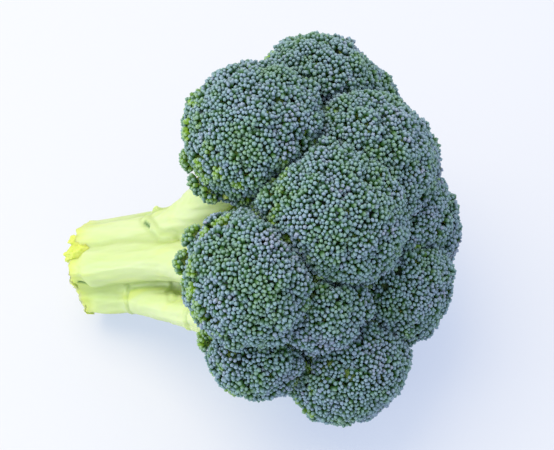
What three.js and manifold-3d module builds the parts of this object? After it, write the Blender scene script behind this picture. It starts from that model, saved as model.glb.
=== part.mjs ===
// A broccoli head lying on its side: a forked stalk and seventeen florets, each a dome of buds.
// Millimetres, +Z up, resting on z = 0, with the stalk's cut end towards -X.
import * as THREE from 'three';
import { ConvexHull } from 'three/addons/math/ConvexHull.js';
import { mergeVertices } from 'three/addons/utils/BufferGeometryUtils.js';
import Module from 'manifold-3d';

// Pose of the whole head
const TILT = THREE.MathUtils.degToRad(25.5); // the stalk's axis rises towards the crown
const CROWN_HEIGHT = 62; // the crown's centre above the surface

// Stalk
const CUT_END = -100; // along the axis, from the crown's centre
const CUT_SLANT = THREE.MathUtils.degToRad(14); // the knife's angle, longer at the top
const SWAY = 5; // how far the stalk leans towards the front
const SWAY_START = -65; // from here to the cut end it leans the whole of it
const FORK = -42; // where the inner branches leave the core
const CORE_RADIUS = 14;
const COLUMN_RING = 12; // ring on which the outer branches run along the core
const COLUMN_RADIUS = 7.4;
const INNER_RING = 4; // ring on which the inner branches leave the core
const INNER_RADIUS = 7.5;
const CORE_SIDES = 14;
const BRANCH_SIDES = 8;
const BRANCH_STEPS = 7;
const CUT_FLARE = 8; // how much the columns widen towards the cut end

// Florets
const BUD_SPACING = 6;
const BUD_RELIEF = 1.7;
const PLAIN_SPACING = 11; // between the points of the hidden sides
const CLUSTER_SPACING = 13;
const CLUSTER_RELIEF = 1.8;
const SHOULDER = 7; // how softly a dome turns into its neighbour's wall
const NEIGHBOUR_GAP = 0.5; // between two florets' walls
const PLANE_REACH = 10; // florets nearer than this to each other share a wall
const CONE = THREE.MathUtils.degToRad(40); // half the angle of a floret's underside
const APEX_SHARE = 1.48; // of the radius, from the ball's centre down to the cone's point
const NECK_SHARE = 0.95; // of the radius, from the ball's centre down to the neck
const BRANCH_SHARE = 0.32; // of the radius, a branch's own radius at the neck
const JOINT_GAP = 0.35; // between a branch's end and its floret's neck
const BRANCH_GAP = 0.5; // between a floret and the branches

// polar: angle from the axis. turn: round the axis, from the top (0) by the front (90).
// distance: from the crown's centre to the ball's. root: where its branch leaves, along the axis.
const INNER_ROOT = -40;
const RIM_ROOT = -62;
const LOW_ROOT = -80;
const FLORETS = {
  tip: { polar: 20, turn: 240, distance: 25, radius: 33, root: INNER_ROOT },
  inner_top: { polar: 38, turn: 334, distance: 36, radius: 31, root: INNER_ROOT },
  inner_front: { polar: 48, turn: 33, distance: 39, radius: 29, root: INNER_ROOT },
  inner_front_small: { polar: 65, turn: 80, distance: 43, radius: 20, root: INNER_ROOT },
  inner_bottom_front: { polar: 41, turn: 150, distance: 34, radius: 29, root: INNER_ROOT },
  inner_bottom_back: { polar: 44, turn: 215, distance: 35, radius: 29, root: INNER_ROOT },
  inner_back: { polar: 44, turn: 280, distance: 33.5, radius: 29.5, root: INNER_ROOT },
  rim_top: { polar: 83.5, turn: 355, distance: 49.5, radius: 27, root: RIM_ROOT },
  rim_front_high: { polar: 85.5, turn: 58, distance: 49.5, radius: 25, root: RIM_ROOT },
  rim_front_side: { polar: 95.5, turn: 90, distance: 53.5, radius: 18.5, root: LOW_ROOT },
  rim_front_low: { polar: 73, turn: 123, distance: 51, radius: 25, root: RIM_ROOT },
  rim_bottom_front: { polar: 90, turn: 154, distance: 50, radius: 23.5, root: RIM_ROOT },
  rim_bottom: { polar: 86, turn: 180, distance: 48, radius: 22.5, root: RIM_ROOT },
  rim_bottom_back: { polar: 84, turn: 206, distance: 51, radius: 24.5, root: RIM_ROOT },
  rim_back: { polar: 82, turn: 246, distance: 50, radius: 25, root: RIM_ROOT },
  rim_back_high: { polar: 74.5, turn: 283, distance: 49.5, radius: 24.5, root: RIM_ROOT },
  rim_top_back: { polar: 72, turn: 316, distance: 51, radius: 25, root: RIM_ROOT },
};
// Columns that run elsewhere along the core than straight below their florets, or are thicker
const SEATS = {
  rim_top: { turn: 345 },
  rim_front_high: { turn: 42, radius: 8.6 },
  rim_front_side: { turn: 118, ring: 14.5, radius: 6.6 },
};

const wasm = await Module();
wasm.setup();

// The head's own directions
const axis = new THREE.Vector3(Math.cos(TILT), 0, Math.sin(TILT));
const up = new THREE.Vector3(-Math.sin(TILT), 0, Math.cos(TILT));
const front = new THREE.Vector3(0, -1, 0);
const crown = new THREE.Vector3(0, 0, CROWN_HEIGHT);
const GOLDEN_TURN = Math.PI * (3 - Math.sqrt(5));

function spot(along, out, turn) {
  const t = THREE.MathUtils.degToRad(turn);
  return crown.clone()
    .addScaledVector(axis, along)
    .addScaledVector(front, SWAY * THREE.MathUtils.smoothstep(-along, 0, -SWAY_START))
    .addScaledVector(up, out * Math.cos(t))
    .addScaledVector(front, out * Math.sin(t));
}

function randomNumbers(seed) {
  let state = seed;
  return () => {
    state = (state * 1664525 + 1013904223) % 4294967296;
    return state / 4294967296;
  };
}

// Directions spread evenly over a sphere, as seeds are, each moved a little
function evenDirections(count, wander, random) {
  const directions = [];
  for (let i = 0; i < count; i += 1) {
    const z = 1 - (2 * i + 1) / count;
    const ring = Math.sqrt(1 - z * z);
    const turn = i * GOLDEN_TURN;
    const direction = new THREE.Vector3(ring * Math.cos(turn), ring * Math.sin(turn), z);
    direction.x += wander * (random() - 0.5);
    direction.y += wander * (random() - 0.5);
    direction.z += wander * (random() - 0.5);
    directions.push(direction.normalize());
  }
  return directions;
}

function countAt(spacing, radius) {
  return Math.round((4 * Math.PI * radius ** 2) / (0.866 * spacing ** 2));
}

function softLeast(a, b, softness) {
  const h = Math.max(softness - Math.abs(a - b), 0) / softness;
  return Math.min(a, b) - (h * h * softness) / 4;
}

// Where each floret sits, which way it grows and where its branch meets it
const plan = Object.entries(FLORETS).map(([name, size], index) => {
  const polar = THREE.MathUtils.degToRad(size.polar);
  const along = size.distance * Math.cos(polar);
  const out = size.distance * Math.sin(polar);
  const centre = spot(along, out, size.turn);
  const root = spot(size.root, 0, 0);
  const grow = centre.clone().sub(root).normalize();
  const neck = centre.clone().addScaledVector(grow, -NECK_SHARE * size.radius);
  const neckRadius = (APEX_SHARE - NECK_SHARE) * size.radius * Math.tan(CONE);
  return { name, index, centre, radius: size.radius, turn: size.turn, grow, neck, neckRadius };
});

// The walls that a floret shares with its neighbours, as planes that face out of it
function wallsOf(floret) {
  const walls = [];
  for (const other of plan) {
    const apart = floret.centre.distanceTo(other.centre);
    if (other !== floret && apart < floret.radius + other.radius + PLANE_REACH) {
      const normal = other.centre.clone().sub(floret.centre).normalize();
      const middle = (apart ** 2 + floret.radius ** 2 - other.radius ** 2) / (2 * apart);
      walls.push({ normal, depth: middle - NEIGHBOUR_GAP / 2 });
    }
  }
  return walls;
}

// How far a floret reaches from its centre in one direction, and how much of that is open dome
function reachOf(floret, walls, clusters) {
  const apex = floret.grow.clone().multiplyScalar(-APEX_SHARE * floret.radius);
  const cosine = Math.cos(CONE);
  return (direction) => {
    let lump = 0;
    for (const cluster of clusters) {
      const away = (direction.angleTo(cluster) * floret.radius) / (0.62 * CLUSTER_SPACING);
      lump = Math.max(lump, 1 - away * away);
    }
    const ball = floret.radius + CLUSTER_RELIEF * (lump - 0.6);
    let reach = ball;
    for (const wall of walls) {
      const slope = direction.dot(wall.normal);
      if (slope > 0.01) reach = softLeast(reach, wall.depth / slope, SHOULDER);
    }
    // the underside is a cone: where the ray crosses it
    const a = direction.dot(floret.grow) ** 2 - cosine ** 2;
    const b = -direction.dot(floret.grow) * apex.dot(floret.grow) + cosine ** 2 * direction.dot(apex);
    const c = apex.dot(floret.grow) ** 2 - cosine ** 2 * apex.lengthSq();
    const crossings = b * b - a * c;
    if (crossings > 0) {
      for (const t of [(-b - Math.sqrt(crossings)) / a, (-b + Math.sqrt(crossings)) / a]) {
        if (t > 0) reach = softLeast(reach, t, SHOULDER / 3);
      }
    }
    const down = -direction.dot(floret.grow);
    if (down > 0.01) reach = Math.min(reach, (NECK_SHARE * floret.radius) / down);
    const open = THREE.MathUtils.clamp(1 - (ball - reach) / 3, 0, 1);
    const fall = -direction.z;
    const floor = fall > 0.01 ? floret.centre.z / fall : Infinity;
    return { reach, open, floor };
  };
}

// Triangles of the hull of directions, with the points numbered as given
function joinDirections(directions) {
  const number = new Map(directions.map((direction, i) => [direction, i]));
  const triangles = [];
  for (const face of new ConvexHull().setFromPoints(directions).faces) {
    triangles.push([0, 1, 2].map((i) => number.get(face.getEdge(i).head().point)));
  }
  return triangles;
}

// The valleys between buds lie where three of them meet
function valleysBetween(buds) {
  return joinDirections(buds).map(([i, j, k]) => {
    const side = buds[j].clone().sub(buds[i]);
    return side.cross(buds[k].clone().sub(buds[i])).normalize();
  });
}

function buildFloret(floret, branches) {
  const random = randomNumbers(1000 + floret.index);
  const clusters = evenDirections(countAt(CLUSTER_SPACING, floret.radius), 0.25, random);
  const reachAt = reachOf(floret, wallsOf(floret), clusters);
  const isOpen = (direction) => reachAt(direction).open > 0.25;

  const buds = evenDirections(countAt(BUD_SPACING, floret.radius), 0.05, random);
  const valleys = valleysBetween(buds).filter(isOpen);
  const tips = buds.filter(isOpen);
  const plain = evenDirections(countAt(PLAIN_SPACING, floret.radius), 0, random)
    .filter((direction) => !isOpen(direction));
  const neckRing = ringRound(floret);

  const directions = [...tips, ...valleys, ...plain, ...neckRing];
  const positions = [];
  directions.forEach((direction, i) => {
    const { reach, open, floor } = reachAt(direction);
    let length = reach;
    if (i < tips.length) length += BUD_RELIEF * open * (0.35 + 0.3 * random());
    else if (i < tips.length + valleys.length) length -= BUD_RELIEF * open * 0.5;
    positions.push(...direction.clone().multiplyScalar(Math.min(length, floor)).add(floret.centre));
  });

  const geometry = new THREE.BufferGeometry();
  geometry.setAttribute('position', new THREE.Float32BufferAttribute(positions, 3));
  geometry.setIndex(joinDirections(directions).flat());

  // room for its own branch and for those that pass it
  let solid = toSolid(geometry);
  for (const branch of branches) solid = solid.subtract(branch.clearance);
  const bodies = solid.decompose().sort((a, b) => b.volume() - a.volume());
  return toGeometry(bodies[0]);
}

// Directions to the edge of the neck, so that the neck ends in a flat disc
function ringRound(floret) {
  const sideways = new THREE.Vector3().crossVectors(floret.grow, front).normalize();
  const across = new THREE.Vector3().crossVectors(floret.grow, sideways);
  const ring = [];
  for (let i = 0; i < BRANCH_SIDES; i += 1) {
    const turn = (i / BRANCH_SIDES) * 2 * Math.PI;
    ring.push(floret.neck.clone()
      .addScaledVector(sideways, 0.97 * floret.neckRadius * Math.cos(turn))
      .addScaledVector(across, 0.97 * floret.neckRadius * Math.sin(turn))
      .sub(floret.centre)
      .normalize());
  }
  return ring;
}

// A solid rod along a curve, thinner or thicker by the way
function rodAlong(curve, radiusAt, sides, steps) {
  const geometry = new THREE.CylinderGeometry(1, 1, 1, sides, steps);
  geometry.deleteAttribute('normal');
  geometry.deleteAttribute('uv');
  const merged = mergeVertices(geometry);
  const place = merged.getAttribute('position');
  for (let i = 0; i < place.count; i += 1) {
    const share = THREE.MathUtils.clamp(place.getY(i) + 0.5, 0, 1);
    const tangent = curve.getTangent(share);
    const sideways = new THREE.Vector3().crossVectors(front, tangent).normalize();
    const across = new THREE.Vector3().crossVectors(sideways, tangent);
    const radius = radiusAt(share);
    const point = curve.getPoint(share)
      .addScaledVector(sideways, radius * place.getX(i))
      .addScaledVector(across, radius * place.getZ(i));
    place.setXYZ(i, point.x, point.y, point.z);
  }
  return merged;
}

function toSolid(geometry) {
  const bare = geometry.clone();
  bare.deleteAttribute('normal');
  bare.deleteAttribute('uv');
  const merged = mergeVertices(bare);
  return new wasm.Manifold(new wasm.Mesh({
    numProp: 3,
    vertProperties: Float32Array.from(merged.getAttribute('position').array),
    triVerts: Uint32Array.from(merged.getIndex().array),
  }));
}

function toGeometry(solid) {
  const mesh = solid.getMesh();
  const geometry = new THREE.BufferGeometry();
  geometry.setAttribute('position', new THREE.BufferAttribute(mesh.vertProperties, 3));
  geometry.setIndex(new THREE.BufferAttribute(mesh.triVerts, 1));
  return geometry;
}

// A branch: a rim one runs as a column along the core before it bends out to its floret
function branchOf(floret, swelling) {
  const isRim = FLORETS[floret.name].root !== INNER_ROOT;
  const seat = isRim
    ? { turn: floret.turn, ring: COLUMN_RING, radius: COLUMN_RADIUS, ...SEATS[floret.name] }
    : { turn: floret.turn, ring: INNER_RING, radius: INNER_RADIUS };
  const start = isRim ? CUT_END - 4 : FORK - 30;
  const end = floret.neck.clone().addScaledVector(floret.grow, swelling - JOINT_GAP);
  const bend = spot(FLORETS[floret.name].root, seat.ring, seat.turn);
  const lead = end.distanceTo(bend);
  const curve = new THREE.CurvePath();
  curve.add(new THREE.LineCurve3(spot(start, seat.ring * 0.95, seat.turn), bend));
  curve.add(new THREE.CubicBezierCurve3(
    bend,
    bend.clone().addScaledVector(axis, lead * 0.3),
    end.clone().addScaledVector(floret.grow, -lead * 0.35),
    end,
  ));
  const thin = BRANCH_SHARE * floret.radius;
  const radiusAt = (share) => THREE.MathUtils.lerp(seat.radius, thin, share)
    + CUT_FLARE * Math.max(0, 0.12 - share) + swelling;
  return rodAlong(curve, radiusAt, BRANCH_SIDES, BRANCH_STEPS);
}

// A slab as wide as the head, which trims the stalk by a plane
function slabBeyond(point, normal) {
  const size = 300;
  const slab = new THREE.BoxGeometry(size, size, size);
  slab.translate(0, 0, size / 2);
  slab.applyQuaternion(new THREE.Quaternion().setFromUnitVectors(new THREE.Vector3(0, 0, 1), normal));
  slab.translate(point.x, point.y, point.z);
  return toSolid(slab);
}

function buildStalk(branches) {
  const core = new THREE.LineCurve3(spot(CUT_END - 5, 0, 0), spot(FORK + 14, 0, 0));
  const coreRadius = (share) => CORE_RADIUS + 3 * Math.sin(Math.PI * share) - 3 * share;
  let solid = toSolid(rodAlong(core, coreRadius, CORE_SIDES, 5));
  for (const branch of branches) solid = solid.add(branch.solid);
  const knife = axis.clone().negate().applyAxisAngle(front, -CUT_SLANT);
  solid = solid.subtract(slabBeyond(spot(CUT_END, 0, 0), knife));
  solid = solid.subtract(slabBeyond(new THREE.Vector3(0, 0, 0), new THREE.Vector3(0, 0, -1)));
  return toGeometry(solid);
}

const stalkFlesh = new THREE.MeshStandardMaterial({ color: 0xcfe39a, roughness: 0.5, metalness: 0 });
const budGreen = new THREE.MeshStandardMaterial({ color: 0x4d6a5c, roughness: 0.8, metalness: 0 });

function addPiece(group, name, geometry, material) {
  geometry.computeVertexNormals();
  const mesh = new THREE.Mesh(geometry, material);
  mesh.name = name;
  group.add(mesh);
}

const branches = plan.map((floret) => ({
  floret,
  solid: toSolid(branchOf(floret, 0)),
  clearance: toSolid(branchOf(floret, BRANCH_GAP)),
}));
const head = new THREE.Group();
addPiece(head, 'stalk', buildStalk(branches), stalkFlesh);
for (const floret of plan) {
  addPiece(head, `floret_${floret.name}`, buildFloret(floret, branches), budGreen);
}

// The origin stands under the middle of the head's box
const middle = new THREE.Box3().setFromObject(head).getCenter(new THREE.Vector3());
head.position.set(-middle.x, -middle.y, 0);

export default head;
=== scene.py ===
"""A broccoli head lying on a pale table: seventeen florets of buds on a forked, pale green stalk."""
import math
from types import SimpleNamespace

import bmesh
import bpy
import numpy as np
from bpy.props import FloatProperty, FloatVectorProperty, IntProperty, PointerProperty
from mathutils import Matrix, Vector
from mathutils.kdtree import KDTree


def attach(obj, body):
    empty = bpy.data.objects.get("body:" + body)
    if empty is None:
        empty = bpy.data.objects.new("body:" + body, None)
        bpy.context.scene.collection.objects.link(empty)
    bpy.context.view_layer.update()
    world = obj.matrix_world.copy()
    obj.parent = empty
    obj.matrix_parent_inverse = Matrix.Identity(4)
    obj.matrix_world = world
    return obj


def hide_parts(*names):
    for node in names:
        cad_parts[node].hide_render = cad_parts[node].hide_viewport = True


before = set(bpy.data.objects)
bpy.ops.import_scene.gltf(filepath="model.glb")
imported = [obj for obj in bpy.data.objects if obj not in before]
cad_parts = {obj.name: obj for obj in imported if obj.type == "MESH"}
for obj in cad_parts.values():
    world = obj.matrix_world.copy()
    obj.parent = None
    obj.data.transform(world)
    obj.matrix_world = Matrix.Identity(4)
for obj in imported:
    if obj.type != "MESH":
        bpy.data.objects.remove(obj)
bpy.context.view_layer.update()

bl_info = {
    "name": "Broccoli Head",
    "version": (1, 0, 0),
    "blender": (4, 5, 0),
    "location": "View3D > Sidebar > Broccoli",
    "description": "Grows a broccoli head from its stalk, florets and buds",
    "category": "Object",
}

MM = 0.001
BODY = "root"

# The head's pose and plan, in millimetres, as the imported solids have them
CROWN_CENTRE = np.array([16.215, 0.584, 62.0])
TILT = math.radians(25.5)
CUT_END = -100.0
CUT_SLANT = math.radians(14)
SWAY = 5.0
SWAY_START = -65.0
FORK = -42.0
CORE_RADIUS = 14.0
COLUMN_RING = 12.0
COLUMN_RADIUS = 7.4
INNER_RING = 4.0
INNER_RADIUS = 7.5
CUT_FLARE = 8.0
CLUSTER_SPACING = 13.0
CLUSTER_WIDTH = 0.62  # a cluster's radius, as a share of their spacing
CLUSTER_WANDER = 0.25
CLUSTER_RELIEF = 1.8
CLUSTER_MEAN = 0.6
SHOULDER = 7.0
PLANE_REACH = 10.0
CONE = math.radians(40)
APEX_SHARE = 1.48
NECK_SHARE = 0.95
BRANCH_SHARE = 0.32
RIM_ANGLE = 128.0  # from a floret's own axis to the edge of its buds, in degrees
INNER_ROOT = -40.0
RIM_ROOT = -62.0
LOW_ROOT = -80.0

# How far above the table the lowest points of the finer pieces stay, in millimetres
LOWEST_CLUMP = 1.4
LOWEST_FOOT = 0.6
LOWEST_FLESH = 0.3
LOWEST_SKIN = 0.05
LOWEST_FIBRE = 0.3

# Where the buds are young: how large their patches are, from how many degrees off the floret's own axis they
# thicken and over how many, and over what depth of a crease they do; sizes in millimetres
YOUNG_PATCH = 8.0
YOUNG_START = 66
YOUNG_BAND = 26
YOUNG_CREASE = 3.0

# Seeds of what looks random and doesn't belong to the buds' own seed
SEEDS = {
    "tint": 11, "fine tint": 12, "skin": 21, "fine skin": 22, "ring": 31, "cut": 41, "fine cut": 42,
    "streaks": 43, "rim": 50, "sliver": 61, "fine sliver": 62, "young": 71, "slivers": 77, "twigs": 900,
    "clusters": 1000,
}

# name: angle from the axis, turn round it from the top by the front, distance, radius, root along the axis
FLORETS = {
    "tip": (20, 240, 25, 33, INNER_ROOT),
    "inner_top": (38, 334, 36, 31, INNER_ROOT),
    "inner_front": (48, 33, 39, 29, INNER_ROOT),
    "inner_front_small": (65, 80, 43, 20, INNER_ROOT),
    "inner_bottom_front": (41, 150, 34, 29, INNER_ROOT),
    "inner_bottom_back": (44, 215, 35, 29, INNER_ROOT),
    "inner_back": (44, 280, 33.5, 29.5, INNER_ROOT),
    "rim_top": (83.5, 355, 49.5, 27, RIM_ROOT),
    "rim_front_high": (85.5, 58, 49.5, 25, RIM_ROOT),
    "rim_front_side": (95.5, 90, 53.5, 18.5, LOW_ROOT),
    "rim_front_low": (73, 123, 51, 25, RIM_ROOT),
    "rim_bottom_front": (90, 154, 50, 23.5, RIM_ROOT),
    "rim_bottom": (86, 180, 48, 22.5, RIM_ROOT),
    "rim_bottom_back": (84, 206, 51, 24.5, RIM_ROOT),
    "rim_back": (82, 246, 50, 25, RIM_ROOT),
    "rim_back_high": (74.5, 283, 49.5, 24.5, RIM_ROOT),
    "rim_top_back": (72, 316, 51, 25, RIM_ROOT),
}

# Columns that run elsewhere along the core: turn, ring, radius
SEATS = {
    "rim_top": (345, COLUMN_RING, COLUMN_RADIUS),
    "rim_front_high": (42, COLUMN_RING, 8.6),
    "rim_front_side": (118, 14.5, 6.6),
}

AXIS = np.array([math.cos(TILT), 0, math.sin(TILT)])
UP = np.array([-math.sin(TILT), 0, math.cos(TILT)])
FRONT = np.array([0, -1.0, 0])
GOLDEN_TURN = math.pi * (3 - math.sqrt(5))


# Plain vector work

def unit(vectors):
    return vectors / np.maximum(np.linalg.norm(vectors, axis=-1, keepdims=True), 1e-12)


def spot(along, out, turn):
    t = math.radians(turn)
    lean = min(max(along / SWAY_START, 0), 1)
    sway = SWAY * lean * lean * (3 - 2 * lean)
    return CROWN_CENTRE + AXIS * along + UP * (out * math.cos(t)) + FRONT * (out * math.sin(t) + sway)


def even_directions(count):
    i = np.arange(count)
    z = 1 - (2 * i + 1) / count
    ring = np.sqrt(1 - z * z)
    turn = i * GOLDEN_TURN
    return np.stack([ring * np.cos(turn), ring * np.sin(turn), z], 1)


def count_at(spacing, radius):
    """How many points a ball holds at that spacing, in rows of even triangles."""
    row = 0.866
    return round(4 * math.pi * radius ** 2 / (row * spacing ** 2))


def seeded_clusters(count, wander, seed):
    """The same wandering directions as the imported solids' clusters."""
    factor, step, end = 1664525, 1013904223, 4294967296
    state = seed
    moves = []
    for _ in range(count * 3):
        state = (state * factor + step) % end
        moves.append(state / end - 0.5)
    return unit(even_directions(count) + wander * np.array(moves).reshape(-1, 3))


def limit(values):
    """The values, held between 0 and 1."""
    return np.clip(values, 0, 1)


def soft_least(a, b, softness):
    h = np.maximum(softness - np.abs(a - b), 0) / softness
    return np.minimum(a, b) - h * h * softness / 4


def soft_noise(points, size, seed):
    """A smooth random value from about -1 to 1, with features of the given size."""
    waves = 7
    rng = np.random.default_rng(seed)
    total = np.zeros(len(points))
    for _ in range(waves):
        direction = unit(rng.normal(size=3))
        total += np.sin(points @ direction * (2 * math.pi / size * rng.uniform(0.7, 1.5)) + rng.uniform(0, 7))
    return total / math.sqrt(waves)


def side_vectors(directions):
    helper = np.where(np.abs(directions[:, 2:3]) < 0.9, [[0, 0, 1.0]], [[1.0, 0, 0]])
    first = unit(np.cross(helper, directions))
    return first, np.cross(directions, first)


# The florets' plan

def plan_florets():
    plan = []
    for index, (name, (polar, turn, distance, radius, root_along)) in enumerate(FLORETS.items()):
        polar = math.radians(polar)
        centre = spot(distance * math.cos(polar), distance * math.sin(polar), turn)
        root = spot(root_along, 0, 0)
        grow = unit(centre - root)
        plan.append(SimpleNamespace(
            name=name, index=index, centre=centre, radius=radius, turn=turn, root_along=root_along, grow=grow,
            neck=centre - grow * NECK_SHARE * radius,
            neck_radius=(APEX_SHARE - NECK_SHARE) * radius * math.tan(CONE),
            clusters=seeded_clusters(
                count_at(CLUSTER_SPACING, radius), CLUSTER_WANDER, SEEDS["clusters"] + index)))
    for floret in plan:
        floret.walls = []
        for other in plan:
            apart = np.linalg.norm(other.centre - floret.centre)
            if other is not floret and apart < floret.radius + other.radius + PLANE_REACH:
                middle = (apart ** 2 + floret.radius ** 2 - other.radius ** 2) / (2 * apart)
                floret.walls.append(((other.centre - floret.centre) / apart, middle))
    return plan


def lumps_of(floret, directions):
    angles = np.arccos(np.clip(directions @ floret.clusters.T, -1, 1))
    away = angles.min(1) * floret.radius / (CLUSTER_WIDTH * CLUSTER_SPACING)
    return np.maximum(1 - away ** 2, 0)


def reach_of(floret, directions, gap):
    """How far the floret's surface is from its centre: (dome alone, with walls, with walls and underside)."""
    ball = floret.radius + CLUSTER_RELIEF * (lumps_of(floret, directions) - CLUSTER_MEAN)
    walled = ball.copy()
    for normal, depth in floret.walls:
        slope = directions @ normal
        wall = np.where(slope > 0.01, (depth - gap / 2) / np.maximum(slope, 0.01), 1e4)
        walled = soft_least(walled, wall, SHOULDER)
    reach = walled.copy()
    apex = -APEX_SHARE * floret.radius * floret.grow
    cosine = math.cos(CONE)
    along = directions @ floret.grow
    a = along ** 2 - cosine ** 2
    b = -along * (apex @ floret.grow) + cosine ** 2 * (directions @ apex)
    c = (apex @ floret.grow) ** 2 - cosine ** 2 * (apex @ apex)
    crossings = b * b - a * c
    root_part = np.sqrt(np.maximum(crossings, 0))
    for t in ((-b - root_part) / a, (-b + root_part) / a):
        reach = np.where((crossings > 0) & (t > 0), soft_least(reach, t, SHOULDER / 3), reach)
    down = -along
    reach = np.where(down > 0.01, np.minimum(reach, NECK_SHARE * floret.radius / np.maximum(down, 0.01)), reach)
    return ball, walled, reach


def rim_angles(floret, directions):
    """Degrees from the floret's own axis."""
    return np.degrees(np.arccos(np.clip(directions @ floret.grow, -1, 1)))


def young_patches(floret, directions, ball, walled):
    """Where the buds are sparse and young, near the rim and the creases: 0 to 1."""
    patch = soft_noise(floret.centre + directions * floret.radius, YOUNG_PATCH, SEEDS["young"])
    near_rim = limit((rim_angles(floret, directions) - YOUNG_START) / YOUNG_BAND)
    near_crease = limit((ball - walled) / YOUNG_CREASE)
    return limit((patch - 0.05) / 0.45) * np.maximum(near_rim, near_crease)


def underside_reach(floret, directions, depth):
    """How far the fan of stems reaches from the centre: a cone from under the rim to the neck."""
    edge = math.radians(RIM_ANGLE - 3)
    rim = (floret.radius - depth) * np.array([math.cos(edge), math.sin(edge)])
    neck = np.array([-NECK_SHARE * floret.radius, 0.92 * floret.neck_radius])
    slope = neck - rim
    along = directions @ floret.grow
    out = np.sqrt(np.maximum(1 - along ** 2, 0))
    crossing = along * slope[1] - out * slope[0]
    reach = (rim[0] * slope[1] - rim[1] * slope[0]) / np.where(np.abs(crossing) > 1e-6, crossing, 1e-6)
    return np.where((along < rim[0] / np.linalg.norm(rim)) & (reach > 0), reach, 1e4)


def surface_points(floret, directions, gap):
    _, _, reach = reach_of(floret, directions, gap)
    return floret.centre + directions * reach[:, None]


def surface_normals(floret, directions, gap):
    step = 0.03
    first, second = side_vectors(directions)
    here = surface_points(floret, directions, gap)
    one, other = (surface_points(floret, unit(directions + step * way), gap) - here for way in (first, second))
    return unit(np.cross(one, other))


# Objects and meshes

def add_object(name, data):
    thing = bpy.data.objects.new(name, data)
    bpy.context.scene.collection.objects.link(thing)
    return thing


def shade_smooth(mesh):
    mesh.polygons.foreach_set("use_smooth", np.full(len(mesh.polygons), True))


def make_mesh_object(name, vertices, faces, material):
    """A smooth mesh object from vertices in millimetres."""
    mesh = bpy.data.meshes.new(name)
    mesh.from_pydata((np.asarray(vertices) * MM).tolist(), [], faces)
    mesh.materials.append(material)
    shade_smooth(mesh)
    mesh.update()
    return add_object(name, mesh)


def make_plain(piece, material):
    """Swaps a modified object's mesh for the plain finished one."""
    graph = bpy.context.evaluated_depsgraph_get()
    mesh = bpy.data.meshes.new_from_object(piece.evaluated_get(graph))
    old = piece.data
    piece.modifiers.clear()
    piece.data = mesh
    mesh.name = piece.name
    bpy.data.meshes.remove(old)
    mesh.materials.clear()
    mesh.materials.append(material)
    mesh.polygons.foreach_set("material_index", np.zeros(len(mesh.polygons), int))
    return piece


def store_values(mesh, label, values):
    """Keeps a number or a vector for every point of a mesh."""
    kind, part = ("FLOAT", "value") if np.ndim(values) == 1 else ("FLOAT_VECTOR", "vector")
    mesh.attributes.new(label, kind, "POINT").data.foreach_set(part, np.ravel(values))


def drop_values(mesh, labels):
    for label in labels:
        if label in mesh.attributes:
            mesh.attributes.remove(mesh.attributes[label])


def mesh_points(mesh):
    """A mesh's points, in millimetres."""
    points = np.empty(len(mesh.vertices) * 3)
    mesh.vertices.foreach_get("co", points)
    return points.reshape(-1, 3) / MM


def mesh_normals(mesh):
    normals = np.empty(len(mesh.vertices) * 3)
    mesh.vertex_normals.foreach_get("vector", normals)
    return normals.reshape(-1, 3)


def keep_above(points, height):
    """Lifts the points that lie under a height above the table, in place."""
    points[:, 2] = np.maximum(points[:, 2], height)


def rod(points, radii, sides):
    """Vertices and faces of a closed rod through points, with its own radius at each."""
    points = np.asarray(points, float)
    tangents = unit(np.gradient(points, axis=0))
    helper = FRONT if abs(tangents[0] @ FRONT) < 0.9 else UP
    across = []
    side = unit(np.cross(helper, tangents[0]))
    for tangent in tangents:
        side = unit(side - tangent * (side @ tangent))
        across.append(side)
    across = np.array(across)
    other = np.cross(tangents, across)
    turns = np.arange(sides) * (2 * math.pi / sides)
    rings = (points[:, None] + np.asarray(radii)[:, None, None] * (
        np.cos(turns)[None, :, None] * across[:, None] + np.sin(turns)[None, :, None] * other[:, None]))
    vertices = list(rings.reshape(-1, 3)) + [points[0], points[-1]]
    faces = []
    for ring in range(len(points) - 1):
        for i in range(sides):
            a, b = ring * sides + i, ring * sides + (i + 1) % sides
            faces.append((a, b, b + sides, a + sides))
    low, high = len(vertices) - 2, len(vertices) - 1
    last = (len(points) - 1) * sides
    for i in range(sides):
        faces.append((low, (i + 1) % sides, i))
        faces.append((high, last + i, last + (i + 1) % sides))
    return np.array(vertices), faces


def join_shapes(shapes):
    vertices, faces = [], []
    start = 0
    for points, polygons in shapes:
        vertices.append(points)
        faces.extend(tuple(i + start for i in polygon) for polygon in polygons)
        start += len(points)
    return np.concatenate(vertices), faces


def bezier(a, b, c, d, steps):
    t = np.linspace(0, 1, steps)[:, None]
    return a * (1 - t) ** 3 + 3 * b * t * (1 - t) ** 2 + 3 * c * t ** 2 * (1 - t) + d * t ** 3


def along_path(points, shares):
    lengths = np.concatenate([[0], np.cumsum(np.linalg.norm(np.diff(points, axis=0), axis=1))])
    lengths /= lengths[-1]
    return np.stack([np.interp(shares, lengths, points[:, k]) for k in range(3)], 1)


# Node helpers

def feed(tree, node, inputs):
    """Sets a node's inputs, each to a value, or from a socket or the first output of a node."""
    for label, value in inputs.items():
        if isinstance(value, bpy.types.Node):
            value = next(output for output in value.outputs if output.enabled)
        if isinstance(value, bpy.types.NodeSocket):
            tree.links.new(value, node.inputs[label])
        else:
            node.inputs[label].default_value = value


def add_node(tree, kind, inputs=None, **settings):
    node = tree.nodes.new(kind)
    for label, value in settings.items():
        setattr(node, label, value)
    feed(tree, node, inputs or {})
    return node


def add_math(tree, operation, first, second):
    return add_node(tree, "ShaderNodeMath", {0: first, 1: second}, operation=operation)


def add_inputs(tree, numbers):
    """Gives a node group its named numbers, each with its default."""
    for label, default in numbers:
        tree.interface.new_socket(label, in_out="INPUT", socket_type="NodeSocketFloat").default_value = default


# Materials

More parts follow.
